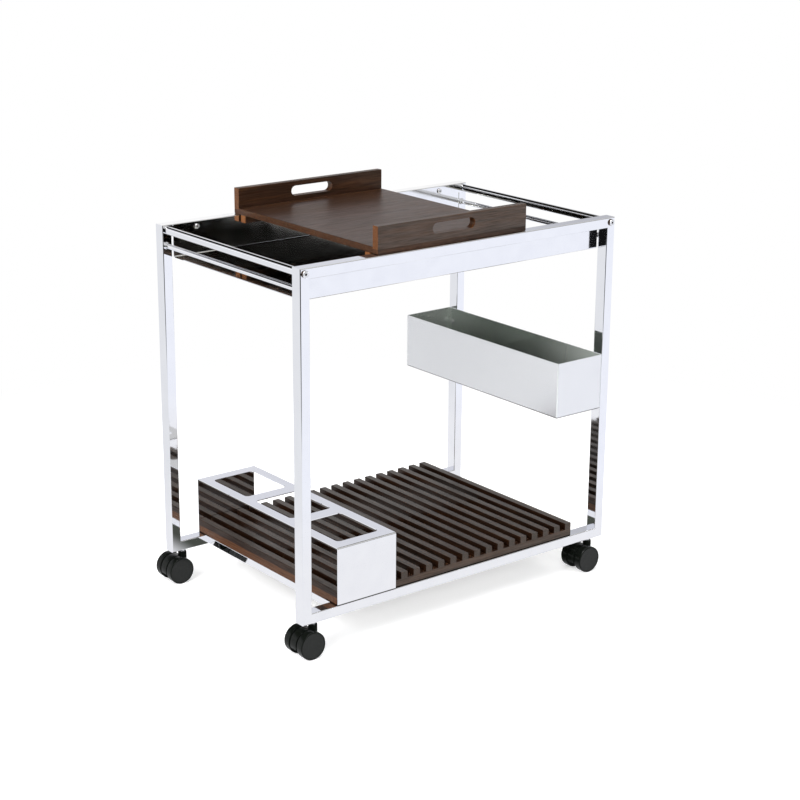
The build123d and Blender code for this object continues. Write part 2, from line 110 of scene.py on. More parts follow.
def linear(code):
    """Linear RGBA of an sRGB hex colour: c / 12.92 up to 0.04045, ((c + 0.055) / 1.055) ** 2.4 above."""
    c = np.array([int(code[i:i + 2], 16) for i in (1, 3, 5)]) / 255
    rgb = np.where(c <= 0.04045, c / 12.92, ((c + 0.055) / 1.055) ** 2.4)
    return (*(float(v) for v in rgb), 1.0)


def colour(name, description, code):
    """A colour property whose default is an sRGB hex value."""
    return FloatVectorProperty(
        name=name, description=description, subtype="COLOR", size=4, min=0, max=1, default=linear(code))


def length(name, description, millimetres):
    """A length property given in millimetres and kept in metres."""
    return FloatProperty(
        name=name, description=description, subtype="DISTANCE", unit="LENGTH", min=0,
        default=millimetres * MM)


def angle(name, description, degrees):
    """An angle property given in degrees and kept in radians."""
    return FloatProperty(
        name=name, description=description, subtype="ANGLE", default=math.radians(degrees))


class CartFinish(bpy.types.PropertyGroup):
    """Colours of the finishes and the sizes of their patterns."""
    chrome: colour("Chrome", "Plated steel, as it reflects head on", "#FAFBFD")
    chrome_low: colour("Chrome haze", "Plated steel where it is faintly hazed", "#F2F3F7")
    pan_floor: colour("Pan floor", "Darkened plate on the floor of the pan", "#B7B5AB")
    # Painted shade along the rack's lower edge.
    painted_edge_shade: colour("Cut edge", "Lower edge of the rack's sheet", "#0D0D0D")
    satin: colour("Satin steel", "Brushed sheet of the caddy", "#ECEDEF")
    satin_low: colour("Satin steel low", "Shallows of the brushing", "#E3E4E6")
    # Painted tint of what the caddy's inside mirrors.
    painted_inside_tint: colour("Satin steel inside", "Inside of the caddy", "#EBF2EC")
    steel: colour("Steel", "Zinc-plated screws and stems", "#C9CACC")
    # Painted shade on the rims and in the sockets of screw heads.
    painted_head_shade: colour("Forging", "Rims and sockets of the screw heads", "#4F4138")
    wood_dark: colour("Wood dark", "Late wood of the stained boards", "#160B05")
    wood_mid: colour("Wood middle", "Body of the stained boards", "#2B180D")
    wood_light: colour("Wood light", "Early wood of the stained boards", "#402614")
    # Lighter tone painted on faces across X as side light.
    wood_side_light: colour("Wood edge", "Sawn edges, which take less stain", "#8A5630")
    lacquer: colour("Lacquer", "Tint of the sheen on the wood", "#FFF8EA")
    plastic: colour("Plastic", "Moulded nylon of the casters", "#090B09")
    plastic_grey: colour("Plastic bloom", "Nylon where it is scuffed or dusty", "#131613")
    grain_width: length("Grain width", "Width of the coarse figure across the grain", 9)
    grain_run: length("Grain run", "Length of that figure along the grain", 160)
    fibre_width: length("Fibre width", "Width of the fine streaks, drawn coarser than real pores", 1.6)
    fibre_run: length("Fibre run", "Length of the fine streaks along the grain", 45)


class CartShapes(bpy.types.PropertyGroup):
    """Roundings and small forms of the smooth pieces."""
    rail_corner: length("Rail corner", "Rounding of the end rails", 5)
    hole_height: length("Hand-hole height", "Height of the holes in the tray's ends", 20)
    wheel_edge: length("Wheel edge", "Outer rounding of a tread", 2.4)
    wheel_inner_edge: length("Wheel inner edge", "Rounding of a tread beside the hood", 0.8)
    wheel_lip: length("Wheel lip", "Flat ring inside the outer rounding", 0.5)
    wheel_dish: length("Wheel dish", "Depth of the round panel", 0.6)
    hood_rise: length("Hood rise", "How far the cowl stands out towards the treads", 1.2)
    hood_edge: length("Hood edge", "Rounding of the hood's cowl", 0.5)
    hood_gap: length("Hood gap", "Width of the step beside each wheel", 2.6)
    hood_step: length("Hood step", "Depth of that step", 3)
    neck_width: length("Neck width", "Diameter of the hood's neck", 17)
    neck_drop: length("Neck drop", "Bare stem left above the neck", 3.5)
    neck_bore: length("Neck bore", "Diameter of the hole for the stem", 10.1)
    rod_edge: length("Rod edge", "Rounding of a guard rod's ends", 0.4)
    corner_head: length("Corner screw head", "Diameter of the heads in the frame's corners", 13)
    corner_rise: length("Corner screw rise", "Height of those heads", 4)
    corner_shank: length("Corner screw shank", "Diameter of those screws", 6)
    corner_length: length("Corner screw length", "Length of those screws below the head", 41)
    sheet_head: length("Sheet screw head", "Diameter of the heads in the pan and the caddy", 10)
    sheet_rise: length("Sheet screw rise", "Height of those heads", 2.8)
    sheet_shank: length("Sheet screw shank", "Diameter of those screws", 5)
    sheet_length: length("Sheet screw length", "Length of those screws below the head", 9.5)


class CartStage(bpy.types.PropertyGroup):
    """Camera, lamps and floor."""
    eye: FloatVectorProperty(
        name="Eye", description="Place of the camera", subtype="TRANSLATION", unit="LENGTH",
        default=(CORNER.x - 1.7945, CORNER.y - 2.5468, CORNER.z + 1.3962))
    yaw: angle("Yaw", "Turn of the view from +Y towards +X", 38.342)
    pitch: angle("Pitch", "Tilt of the view below the horizon", 17.224)
    roll: angle("Roll", "Turn of the view about its axis", 0.411)
    lens: FloatProperty(name="Lens", description="Focal length in mm on a 36 mm frame", default=84.0)
    key_power: FloatProperty(name="Key power", description="Left soft box, in watts", default=85.0)
    top_power: FloatProperty(name="Top power", description="Overhead soft box, in watts", default=60.0)
    front_power: FloatProperty(name="Front power", description="Soft box in front, in watts", default=45.0)
    room: FloatProperty(name="Room light", description="Even light from all round", default=0.4)
    floor: colour("Floor", "Pale floor sheet", "#F4F4F4")
    floor_near: colour("Floor in chrome, right", "Floor that the front faces mirror", "#F5F7FF")
    floor_far: colour("Floor in chrome, left", "Floor that the left faces mirror", "#E9EAED")
    floor_beside: colour("Floor in chrome, beside", "Floor close to the cart", "#F3F3F6")
    floor_under: colour("Floor in chrome, under", "Shaded floor under the deck", "#4A4D47")
    backdrop: colour("Backdrop in chrome", "Backdrop that the top faces mirror", "#FBFAF8")
    wall: colour("Wall in chrome", "Wall above the backdrop", "#D6D7DE")
    ceiling: colour("Ceiling in chrome", "Dark ceiling that the pan mirrors", "#1E1C15")


def add(tree, kind, inputs=(), stops=(), **settings):
    """Adds a node: settings are its own, and inputs maps sockets to a value, to a socket to link from, or
    to a node whose first live output is linked. stops are (place, colour or grey) on its ramp."""
    node = tree.nodes.new(kind)
    for name, value in settings.items():
        setattr(node, name, value)
    for socket, value in dict(inputs).items():
        if isinstance(value, bpy.types.Node):
            value = next(output for output in value.outputs if output.enabled)
        if isinstance(value, bpy.types.NodeSocket):
            tree.links.new(value, node.inputs[socket])
        else:
            node.inputs[socket].default_value = value
    for index, (place, shade) in enumerate(stops):
        ramp = node.color_ramp.elements
        stop = ramp[index] if index < len(ramp) else ramp.new(place)
        stop.position, stop.color = place, (shade, shade, shade, 1.0) if np.isscalar(shade) else shade
    return node


def new_material(name):
    """An empty node material and its tree."""
    material = bpy.data.materials.new(name)
    material.use_nodes = True
    material.node_tree.nodes.clear()
    return material, material.node_tree


def dress(names, material):
    """Gives CAD nodes a material."""
    for name in names:
        slots = NODES[name].data.materials
        slots.clear()
        slots.append(material)


def chrome_plate(finish, name, wave_size, wave_height, blur=(0.02, 0.07), level=None, shade_height=None):
    """Bright chrome plate on buffed steel: a mirror with a cool cast, faint haze and a slow waviness.

    blur is the roughness where it is clear and where it is hazed, level the colour of faces that lie level,
    and the last argument the height below which a painted shade darkens the lower edge."""
    material, tree = new_material(name)
    surface = add(tree, "ShaderNodeTexCoord").outputs
    place = surface["Object"]
    haze_size = 35 * MM
    haze = add(tree, "ShaderNodeTexNoise", {"Vector": place, "Scale": 1 / haze_size, "Detail": 3.0})
    shade = add(tree, "ShaderNodeMix", {
        "Factor": haze, "A": finish.chrome, "B": finish.chrome_low}, data_type="RGBA")
    if level:
        lying = add(tree, "ShaderNodeSeparateXYZ", {"Vector": surface["Normal"]}).outputs["Z"]
        lying = add(tree, "ShaderNodeMath", {0: lying}, operation="ABSOLUTE")
        lying = add(tree, "ShaderNodeMapRange", {"Value": lying, "From Min": 0.6, "From Max": 0.95})
        shade = add(tree, "ShaderNodeMix", {"Factor": lying, "A": shade, "B": level}, data_type="RGBA")
    # Painted shade along the lower edge: below the given height the colour passes into near black.
    if shade_height:
        edge = add(tree, "ShaderNodeSeparateXYZ", {"Vector": place}).outputs["Z"]
        edge = add(tree, "ShaderNodeMapRange", {
            "Value": edge, "From Min": shade_height - SHADE_BLUR, "From Max": shade_height, "To Min": 1.0, "To Max": 0.0})
        shade = add(tree, "ShaderNodeMix", {
            "Factor": edge, "A": shade, "B": finish.painted_edge_shade}, data_type="RGBA")
    rough = add(tree, "ShaderNodeMapRange", {
        "Value": haze, "From Min": 0.3, "From Max": 0.75, "To Min": blur[0], "To Max": blur[1]})
    wave = add(tree, "ShaderNodeTexNoise", {"Vector": place, "Scale": 1 / wave_size, "Detail": 1.0})
    bump = add(tree, "ShaderNodeBump", {"Height": wave, "Strength": 1.0, "Distance": wave_height})
    shader = add(tree, "ShaderNodeBsdfPrincipled", {
        "Base Color": shade, "Metallic": 1.0, "Roughness": rough, "Normal": bump})
    add(tree, "ShaderNodeOutputMaterial", {"Surface": shader})
    return material


def satin_sheet(finish, low, high):
    """Brushed and lacquered steel sheet of a box from low to high: a blurred mirror with fine lines along Y.

    Outside it has an even milky film and is softer. Inside it has a painted green tint, and its share of
    metal is lowest at the front, high in the middle and lower again on the back wall, as painted light that
    makes the front and back walls brighter. A painted shade darkens the bottom edge."""
    material, tree = new_material("steel_sheet_satin")
    place = add(tree, "ShaderNodeTexCoord").outputs["Object"]
    # Real brush lines are about 0.1 mm apart; they are drawn 0.9 mm apart so that they show.
    line_gap, line_run, line_depth = 0.9 * MM, 70 * MM, 0.05 * MM
    lines = add(tree, "ShaderNodeMapping", {
        "Vector": place, "Scale": (1 / line_gap, 1 / line_run, 1 / line_gap)})
    lines = add(tree, "ShaderNodeTexNoise", {"Vector": lines, "Scale": 1.0, "Detail": 2.0})
    shade = add(tree, "ShaderNodeMix", {
        "Factor": lines, "A": finish.satin, "B": finish.satin_low}, data_type="RGBA")
    rough = add(tree, "ShaderNodeMapRange", {
        "Value": lines, "From Min": 0.3, "From Max": 0.7, "To Min": 0.07, "To Max": 0.11})
    bump = add(tree, "ShaderNodeBump", {"Height": lines, "Strength": 0.08, "Distance": line_depth})
    spot = add(tree, "ShaderNodeSeparateXYZ", {"Vector": place}).outputs
    # Points this far within the box on X and Y are inside it.
    skin = 0.6 * MM
    middle, reach = (low + high) / 2, (high - low) / 2
    across = add(tree, "ShaderNodeMath", {0: spot["X"], 1: middle.x, 2: reach.x - skin}, operation="COMPARE")
    along = add(tree, "ShaderNodeMath", {0: spot["Y"], 1: middle.y, 2: reach.y - skin}, operation="COMPARE")
    inside = add(tree, "ShaderNodeMath", {0: across, 1: along}, operation="MULTIPLY")
    # Painted tint: inside, a greener colour stands in for what the walls mirror.
    shade = add(tree, "ShaderNodeMix", {
        "Factor": inside, "A": shade, "B": finish.painted_inside_tint}, data_type="RGBA")
    # Share of the metal: an even film outside; inside, painted light lowers it at the front and back walls.
    film = add(tree, "ShaderNodeMapRange", {"Value": spot["Y"], "From Min": low.y, "From Max": high.y})
    film = add(tree, "ShaderNodeValToRGB", {"Fac": film}, stops=(
        (0.1, 0.64), (0.4, 0.885), (0.93, 0.91), (0.975, 0.91), (0.985, 0.76)))
    film = add(tree, "ShaderNodeMix", {"Factor": inside, "A": 0.8, "B": film})
    softer = add(tree, "ShaderNodeMapRange", {"Value": inside, "To Min": 0.1, "To Max": 0.0})
    rough = add(tree, "ShaderNodeMath", {0: rough, 1: softer}, operation="ADD")
    # Painted shade: the bottom 2 mm of the box darken to near black.
    shade_from, shade_to = low.z + 2 * MM, low.z + 2.8 * MM
    bottom_shade = add(tree, "ShaderNodeMapRange", {
        "Value": spot["Z"], "From Min": shade_from, "From Max": shade_to, "To Min": 0.06, "To Max": 1.0})
    shade = add(tree, "ShaderNodeVectorMath", {0: shade, "Scale": bottom_shade}, operation="SCALE")
    shader = add(tree, "ShaderNodeBsdfPrincipled", {
        "Base Color": shade, "Metallic": film, "Roughness": rough, "Normal": bump})
    add(tree, "ShaderNodeOutputMaterial", {"Surface": shader})
    return material


def stained_wood(finish, name, along, side_light_share, shine, slats=None, hole=None, shade_height=None):
    """Open-pored hardwood, stained dark and sealed with satin lacquer: streaks along the grain under a sheen.

    along is the axis of the grain. The share after it is how far faces across X take a lighter tone, painted
    on as side light. shine is the strength of the lacquer. slats is (first edge, pitch) where a board is cut
    into slats along X. hole is the box of the points inside a hand-hole, (axis, middle, reach) for X, |Y| and
    Z, where the wood has little sheen and less of the lighter tone, as painted shade. The last argument is
    the height below which a lower edge gets a painted shade."""
    material, tree = new_material(name)
    surface = add(tree, "ShaderNodeTexCoord").outputs
    place = surface["Object"]
    if slats or hole or shade_height:
        spot = add(tree, "ShaderNodeSeparateXYZ", {"Vector": place}).outputs
    if slats:
        first, pitch = slats
        step = add(tree, "ShaderNodeMath", {0: spot["X"], 1: first}, operation="SUBTRACT")
        step = add(tree, "ShaderNodeMath", {0: step, 1: pitch}, operation="DIVIDE")
        step = add(tree, "ShaderNodeMath", {0: step}, operation="FLOOR")
        lot = add(tree, "ShaderNodeTexWhiteNoise", {"W": step}, noise_dimensions="1D").outputs
        place = add(tree, "ShaderNodeVectorMath", {0: place, 1: lot["Color"]})
    streaks = []
    for width, run, look in (
            (finish.grain_width, finish.grain_run, {"Detail": 4.0, "Roughness": 0.55, "Distortion": 0.6}),
            (finish.fibre_width, finish.fibre_run, {"Detail": 3.0, "Roughness": 0.6})):
        scale = [1 / (run if axis == along else width) for axis in "XYZ"]
        drawn = add(tree, "ShaderNodeMapping", {"Vector": place, "Scale": scale})
        streaks.append(add(tree, "ShaderNodeTexNoise", {"Vector": drawn, "Scale": 1.0, **look}))
    figure, fibre = streaks
    # Slats are narrow, so little of the figure shows on each.
    spread = 0.45 if slats else 0.3
    shade = add(tree, "ShaderNodeValToRGB", {"Fac": figure}, stops=(
        (0.5 - spread, finish.wood_dark), (0.5, finish.wood_mid), (0.5 + spread, finish.wood_light)))
    facing = add(tree, "ShaderNodeSeparateXYZ", {"Vector": surface["Normal"]}).outputs
    across_x_or_hole = add(tree, "ShaderNodeMath", {0: facing["X"]}, operation="ABSOLUTE")
    across_x_or_hole = add(tree, "ShaderNodeMapRange", {"Value": across_x_or_hole, "From Min": 0.5, "From Max": 0.95})
    if hole:
        aside = add(tree, "ShaderNodeMath", {0: spot["Y"]}, operation="ABSOLUTE")
        within = [add(tree, "ShaderNodeMath", {
            0: aside if axis == "Y" else spot[axis], 1: middle, 2: reach}, operation="COMPARE")
            for axis, middle, reach in hole]
        in_hole = reduce(lambda one, other: add(
            tree, "ShaderNodeMath", {0: one, 1: other}, operation="MULTIPLY"), within)
        across_x_or_hole = add(tree, "ShaderNodeMath", {0: across_x_or_hole, 1: in_hole}, operation="MAXIMUM")
        # Painted shade: inside the hand-hole the lighter tone is weaker than on the ends.
        side_light_share = add(tree, "ShaderNodeMapRange", {
            "Value": in_hole, "To Min": side_light_share, "To Max": 0.35 * side_light_share})
    # Painted side light: faces across X are mixed towards a lighter tone.
    painted_side_light = add(tree, "ShaderNodeMath", {0: across_x_or_hole, 1: side_light_share}, operation="MULTIPLY")
    shade = add(tree, "ShaderNodeMix", {
        "Factor": painted_side_light, "A": shade, "B": finish.wood_side_light}, data_type="RGBA")
    # The underside has hardly any lacquer, and its colour is darkened as painted shade.
    sealed = add(tree, "ShaderNodeMapRange", {
        "Value": facing["Z"], "From Min": -0.9, "From Max": -0.5, "To Min": 0.02, "To Max": 1.0})
    depth = add(tree, "ShaderNodeMath", {0: sealed, 1: 0.4}, operation="MAXIMUM")
    # Painted shade along the lower edge: colour and sheen fall off below the given height.
    if shade_height:
        edge = add(tree, "ShaderNodeMapRange", {
            "Value": spot["Z"], "From Min": shade_height - SHADE_BLUR, "From Max": shade_height, "To Min": 0.1, "To Max": 1.0})
        depth = add(tree, "ShaderNodeMath", {0: depth, 1: edge}, operation="MULTIPLY")
        sealed = add(tree, "ShaderNodeMath", {0: sealed, 1: edge}, operation="MULTIPLY")
    # Pores break the lacquer, and faces across X get less sheen.
    pores = add(tree, "ShaderNodeMapRange", {
        "Value": fibre, "From Min": 0.35, "From Max": 0.6, "To Min": 0.62, "To Max": 1.08})
    sheen = add(tree, "ShaderNodeMapRange", {"Value": across_x_or_hole, "To Min": shine, "To Max": 0.15})
    sheen = add(tree, "ShaderNodeMath", {0: sheen, 1: sealed}, operation="MULTIPLY")
    sheen = add(tree, "ShaderNodeMath", {0: sheen, 1: pores}, operation="MULTIPLY")
    depth = add(tree, "ShaderNodeMath", {0: pores, 1: depth}, operation="MULTIPLY")
    if slats:
        tone = add(tree, "ShaderNodeMapRange", {"Value": lot["Value"], "To Min": 0.55, "To Max": 0.8})
        depth = add(tree, "ShaderNodeMath", {0: depth, 1: tone}, operation="MULTIPLY")
    shade = add(tree, "ShaderNodeVectorMath", {0: shade, "Scale": depth}, operation="SCALE")
    rough = add(tree, "ShaderNodeMapRange", {
        "Value": fibre, "From Min": 0.3, "From Max": 0.7, "To Min": 0.44, "To Max": 0.32})
    pore_depth = 0.3 * MM
    bump = add(tree, "ShaderNodeBump", {"Height": fibre, "Strength": 0.25, "Distance": pore_depth})
    shader = add(tree, "ShaderNodeBsdfPrincipled", {
        "Base Color": shade, "Roughness": rough, "IOR": 1.75, "Specular IOR Level": sheen,
        "Specular Tint": finish.lacquer, "Normal": bump})
    add(tree, "ShaderNodeOutputMaterial", {"Surface": shader})
    return material


def caster_nylon(finish, row, inner):
    """Moulded black nylon: satin on the flat faces, duller on the treads, matt on the rounded rims between
    them and on the inner faces, up to inner from the row of axles at |y| = row, and greyer where scuffed.
    The matt rims and inner faces lie dark as painted shade."""
    material, tree = new_material("caster_nylon_moulded")
    surface = add(tree, "ShaderNodeTexCoord").outputs
    place = surface["Object"]
    flat = add(tree, "ShaderNodeSeparateXYZ", {"Vector": surface["Normal"]}).outputs["Y"]
    flat = add(tree, "ShaderNodeMath", {0: flat}, operation="ABSOLUTE")
    aside = add(tree, "ShaderNodeSeparateXYZ", {"Vector": place}).outputs["Y"]
    aside = add(tree, "ShaderNodeMath", {0: aside}, operation="ABSOLUTE")
    aside = add(tree, "ShaderNodeMath", {0: aside, 1: row, 2: inner}, operation="COMPARE")
    aside = add(tree, "ShaderNodeMapRange", {"Value": aside, "To Min": 1.0, "To Max": 0.6})
    flat = add(tree, "ShaderNodeMath", {0: flat, 1: aside}, operation="MINIMUM")
    # Gloss of the treads, of the rims and of the flat faces.
    gloss = add(tree, "ShaderNodeValToRGB", {"Fac": flat}, stops=(
        (0.3, 0.21), (0.45, 0.04), (0.85, 0.04), (0.97, 0.5)))
    # The real grit is about 0.1 mm; it is drawn at 0.8 mm so that it shows.
    scuff_size, grit_size, grit_depth = 12 * MM, 0.8 * MM, 0.1 * MM
    scuff = add(tree, "ShaderNodeTexNoise", {"Vector": place, "Scale": 1 / scuff_size, "Detail": 5.0})
    shade = add(tree, "ShaderNodeMix", {
        "Factor": scuff, "A": finish.plastic, "B": finish.plastic_grey}, data_type="RGBA")
    rough = add(tree, "ShaderNodeMapRange", {
        "Value": scuff, "From Min": 0.3, "From Max": 0.7, "To Min": 0.09, "To Max": 0.17})
    grit = add(tree, "ShaderNodeTexNoise", {"Vector": place, "Scale": 1 / grit_size, "Detail": 2.0})
    bump = add(tree, "ShaderNodeBump", {"Height": grit, "Strength": 0.02, "Distance": grit_depth})
    shader = add(tree, "ShaderNodeBsdfPrincipled", {
        "Base Color": shade, "Roughness": rough, "IOR": 1.4, "Specular IOR Level": gloss, "Normal": bump})
    add(tree, "ShaderNodeOutputMaterial", {"Surface": shader})
    return material


def zinc_steel(finish, name, face=None):
    """Zinc-plated turned steel with a passivated film: a pale grey metal, blotched, softer than chrome.

    face is |y| of the flat face on screw heads. Their rims and sockets get a painted shade."""
    material, tree = new_material(name)
    place = add(tree, "ShaderNodeTexCoord").outputs["Object"]
    blotch_size, turned_depth = 3 * MM, 0.9 * MM
    blotch = add(tree, "ShaderNodeTexNoise", {"Vector": place, "Scale": 1 / blotch_size, "Detail": 4.0})
    shade = add(tree, "ShaderNodeMix", {
        "Factor": blotch, "A": finish.steel, "B": finish.chrome_low}, data_type="RGBA")
    # Painted shade: all but the flat face of a head darkens, in the socket and on the rim.
    if face:
        turned = add(tree, "ShaderNodeSeparateXYZ", {"Vector": place}).outputs["Y"]
        turned = add(tree, "ShaderNodeMath", {0: turned}, operation="ABSOLUTE")
        turned = add(tree, "ShaderNodeMath", {0: turned, 1: face, 2: turned_depth}, operation="COMPARE")
        shade = add(tree, "ShaderNodeMix", {
            "Factor": turned, "A": finish.painted_head_shade, "B": shade}, data_type="RGBA")
    rough = add(tree, "ShaderNodeMapRange", {
        "Value": blotch, "From Min": 0.3, "From Max": 0.7, "To Min": 0.14, "To Max": 0.24})
    shader = add(tree, "ShaderNodeBsdfPrincipled", {
        "Base Color": shade, "Metallic": 0.75, "Roughness": rough})
    add(tree, "ShaderNodeOutputMaterial", {"Surface": shader})
    return material


def arc_corners(points, radii, steps=6):
    """A polyline with rounded corners: corner p with size r becomes the quadratic Bezier from p + r towards
    the point before to p + r towards the point after, sampled at steps places."""
    points = np.asarray(points, float)
    t = np.linspace(0, 1, steps)[:, None]
    out = [points[:1]]
    for before, corner, after, size in zip(points, points[1:], points[2:], radii):
        start = corner + (before - corner) * size / max(np.linalg.norm(before - corner), 1e-9)
        end = corner + (after - corner) * size / max(np.linalg.norm(after - corner), 1e-9)
        curve = (1 - t) ** 2 * start + 2 * t * (1 - t) * corner + t ** 2 * end
        out.append(curve if size else corner[None])
    out.append(points[-1:])
    return np.concatenate(out)


def turn_about(axis, turns):
    """Angles t of one turn, the axis as an array, and the ring cos t * u + sin t * v square to the axis."""
    axis = np.asarray(axis, float)
    u = np.roll(axis, 1)
    t = np.arange(turns) * 2 * math.pi / turns
    return t, axis, np.cos(t)[:, None] * u + np.sin(t)[:, None] * np.cross(axis, u)


def ring_quads(rows, turns, closed=False):
    """Quads between each ring of a grid and the next, and where closed between the last and the first."""
    i, j = np.meshgrid(np.arange(rows if closed else rows - 1), np.arange(turns), indexing="ij")
    next_i, next_j = (i + 1) % rows, (j + 1) % turns
    quads = np.stack([i * turns + j, i * turns + next_j, next_i * turns + next_j, next_i * turns + j], -1)
    return quads.reshape(-1, 4)


def lathe(profile, centre, axis, turns=96, outline=None):
    """Surface of revolution about an axis through centre: the point (a, r) of the profile at angle t goes to
    centre + a * axis + r * (cos t * u + sin t * v). The profile starts and ends on the axis, at the poles.

    Where outline is given, a third number w in the profile turns r into r * (1 - w + w * outline(t))."""
    profile = np.asarray(profile, float)
    t, axis, ring = turn_about(axis, turns)
    inner = profile[1:-1]
    radius = inner[:, 1, None] * np.ones(turns)
    if outline:
        radius *= 1 + inner[:, 2, None] * (outline(t) - 1)
    grid = inner[:, 0, None, None] * axis + radius[:, :, None] * ring
    poles = profile[[0, -1], 0, None] * axis
    points = np.concatenate([grid.reshape(-1, 3), poles]) + np.asarray(centre, float)
    rows = len(inner)
    around = np.arange(turns)
    after = (around + 1) % turns
    last = (rows - 1) * turns
    first_fan = np.stack([after, around, np.full(turns, rows * turns)], -1)
    last_fan = np.stack([last + around, last + after, np.full(turns, rows * turns + 1)], -1)
    return points, [ring_quads(rows, turns), first_fan, last_fan]


def sleeve(profile, centre, axis, turns=96):
    """Ring of revolution: a closed profile of points (a, r), r above 0, turned about an axis as in lathe."""
    profile = np.asarray(profile, float)
    _, axis, ring = turn_about(axis, turns)
    points = profile[:, 0, None, None] * axis + profile[:, 1, None, None] * ring + np.asarray(centre, float)
    return points.reshape(-1, 3), [ring_quads(len(profile), turns, closed=True)]


def rounded_bar(low, high, corner, steps=10):
    """Bar along Y with a rounded rectangular section: quarter circles of the corner's radius about the four
    corner centres, carried from the low to the high end and closed by flat caps."""
    t = np.linspace(0, math.pi / 2, steps)
    turn = (t + np.arange(4)[:, None] * math.pi / 2).ravel()
    half_x, half_z = (high.x - low.x) / 2 - corner, (high.z - low.z) / 2 - corner
    sign_x = np.repeat([1, -1, -1, 1], steps)
    sign_z = np.repeat([1, 1, -1, -1], steps)
    x = (low.x + high.x) / 2 + sign_x * half_x + corner * np.cos(turn)
    z = (low.z + high.z) / 2 + sign_z * half_z + corner * np.sin(turn)
    count = len(turn)
    points = np.stack([np.tile(x, 2), np.repeat([low.y, high.y], count), np.tile(z, 2)], -1)
    i = np.arange(count)
    k = (i + 1) % count
    return points, [np.stack([k, i, i + count, k + count], -1), np.stack([i, i[::-1] + count])]


def make_piece(name, shells, body, material, replaced, sharp=35):
    """One object from closed shells, each (points, arrays of faces), on a body in place of its CAD nodes.

    sharp is the angle in degrees from which an edge stays crisp."""
    offsets = np.cumsum([0] + [len(points) for points, _ in shells])
    points = np.concatenate([points for points, _ in shells])
    faces = []
    for (_, parts), offset in zip(shells, offsets):
        for part in parts:
            faces += (part + offset).tolist()
    mesh = bpy.data.meshes.new(name)
    mesh.from_pydata(points.tolist(), [], faces)
    mesh.shade_smooth()
    mesh.set_sharp_from_angle(angle=math.radians(sharp))
    mesh.materials.append(material)
    piece = bpy.data.objects.new(name, mesh)
    bpy.context.scene.collection.objects.link(piece)
    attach(piece, body)
    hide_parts(*replaced)


def standing(right, up, back, place):
    """Matrix of an object at place whose X, Y and Z axes point right, up and back."""
    matrix = np.eye(4)
    matrix[:3] = np.column_stack([right, up, back, place])
    return Matrix(matrix.tolist())


class CART_OT_frame(bpy.types.Operator):
    """Chrome on the tube frame, the end rails and the cross bars"""
    bl_idname = "cart.frame"
    bl_label = "Chrome frame"

    def execute(self, context):
        chrome = chrome_plate(
            context.scene.cart_finish, "chrome_plate_tube", wave_size=90 * MM, wave_height=0.02 * MM)
        dress(TUBES, chrome)
        corner = context.scene.cart_shapes.rail_corner
        for end in ENDS:
            bar = rounded_bar(*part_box(f"{end}_end_rail"), corner)
            make_piece(f"{end}_smooth_rail", [bar], "cart", chrome, [f"{end}_end_rail"])
        return {"FINISHED"}


class CART_OT_sheets(bpy.types.Operator):
    """Chrome on the pan and the bottle rack, satin on the caddy"""
    bl_idname = "cart.sheets"
    bl_label = "Bent sheets"

    def execute(self, context):
        finish = context.scene.cart_finish
        wave = {"wave_size": 140 * MM, "wave_height": 0.08 * MM}
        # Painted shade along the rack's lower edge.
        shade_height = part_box("bottle_rack")[0].z + RACK_SHADE
        dress(["bottle_rack"], chrome_plate(finish, "chrome_plate_sheet", **wave, shade_height=shade_height))
        dress(["top_pan"], chrome_plate(
            finish, "chrome_plate_pan", **wave, blur=(0.06, 0.12), level=finish.pan_floor[:]))
        dress(["caddy"], satin_sheet(finish, *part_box("caddy")))
        return {"FINISHED"}


class CART_OT_deck(bpy.types.Operator):
    """Stained wood on the slats and battens of the lower shelf"""
    bl_idname = "cart.deck"
    bl_label = "Slatted deck"

    def execute(self, context):
        finish = context.scene.cart_finish
        low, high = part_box("deck_slats")
        pitch = (high.x - low.x - SLAT_WIDTH) / (SLAT_COUNT - 1)
        first = low.x - (pitch - SLAT_WIDTH) / 2
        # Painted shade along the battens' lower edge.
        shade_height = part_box("front_batten")[0].z + BATTEN_SHADE
        dress(["deck_slats"], stained_wood(
            finish, "stained_wood_slats", "Y", side_light_share=0.0, shine=0.52, slats=(first, pitch)))
        dress(LONG_BATTENS, stained_wood(
            finish, "stained_wood_battens", "X", side_light_share=0.3, shine=0.48, shade_height=shade_height))
        dress(END_BATTENS, stained_wood(
            finish, "stained_wood_end_battens", "Y", side_light_share=0.25, shine=0.48))
        return {"FINISHED"}


class CART_OT_tray(bpy.types.Operator):
    """Stained wood on the boards and cleats of the tray"""
    bl_idname = "cart.tray"
    bl_label = "Tray"

    def execute(self, context):
        finish = context.scene.cart_finish
        low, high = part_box("tray_back_board")
        middle, reach = (low + high) / 2, (high - low) / 2
        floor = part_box("tray_base")[1].z
        # The box keeps clear of the board's ends and faces, and reaches just past the hole above and below.
        end_gap, face_gap, past = 10 * MM, 0.4 * MM, 1 * MM
        hole = (("X", middle.x, reach.x - end_gap), ("Y", middle.y, reach.y - face_gap),
                ("Z", (floor + high.z) / 2, context.scene.cart_shapes.hole_height / 2 + past))
        # Painted light and shade: the same wood, with more shine on the front board and less on the back
        # board.
        for board, shine in (("tray_front_board", 0.68), ("tray_back_board", 0.25)):
            dress([board], stained_wood(
                finish, f"stained_wood_{board}", "X", side_light_share=0.4, shine=shine, hole=hole))
        dress(TRAY_CLEATS, stained_wood(finish, "stained_wood_tray_cleats", "X", side_light_share=0.9, shine=0.3))
        dress(["tray_base"], stained_wood(finish, "stained_wood_tray_base", "X", side_light_share=0.12, shine=0.3))
        return {"FINISHED"}


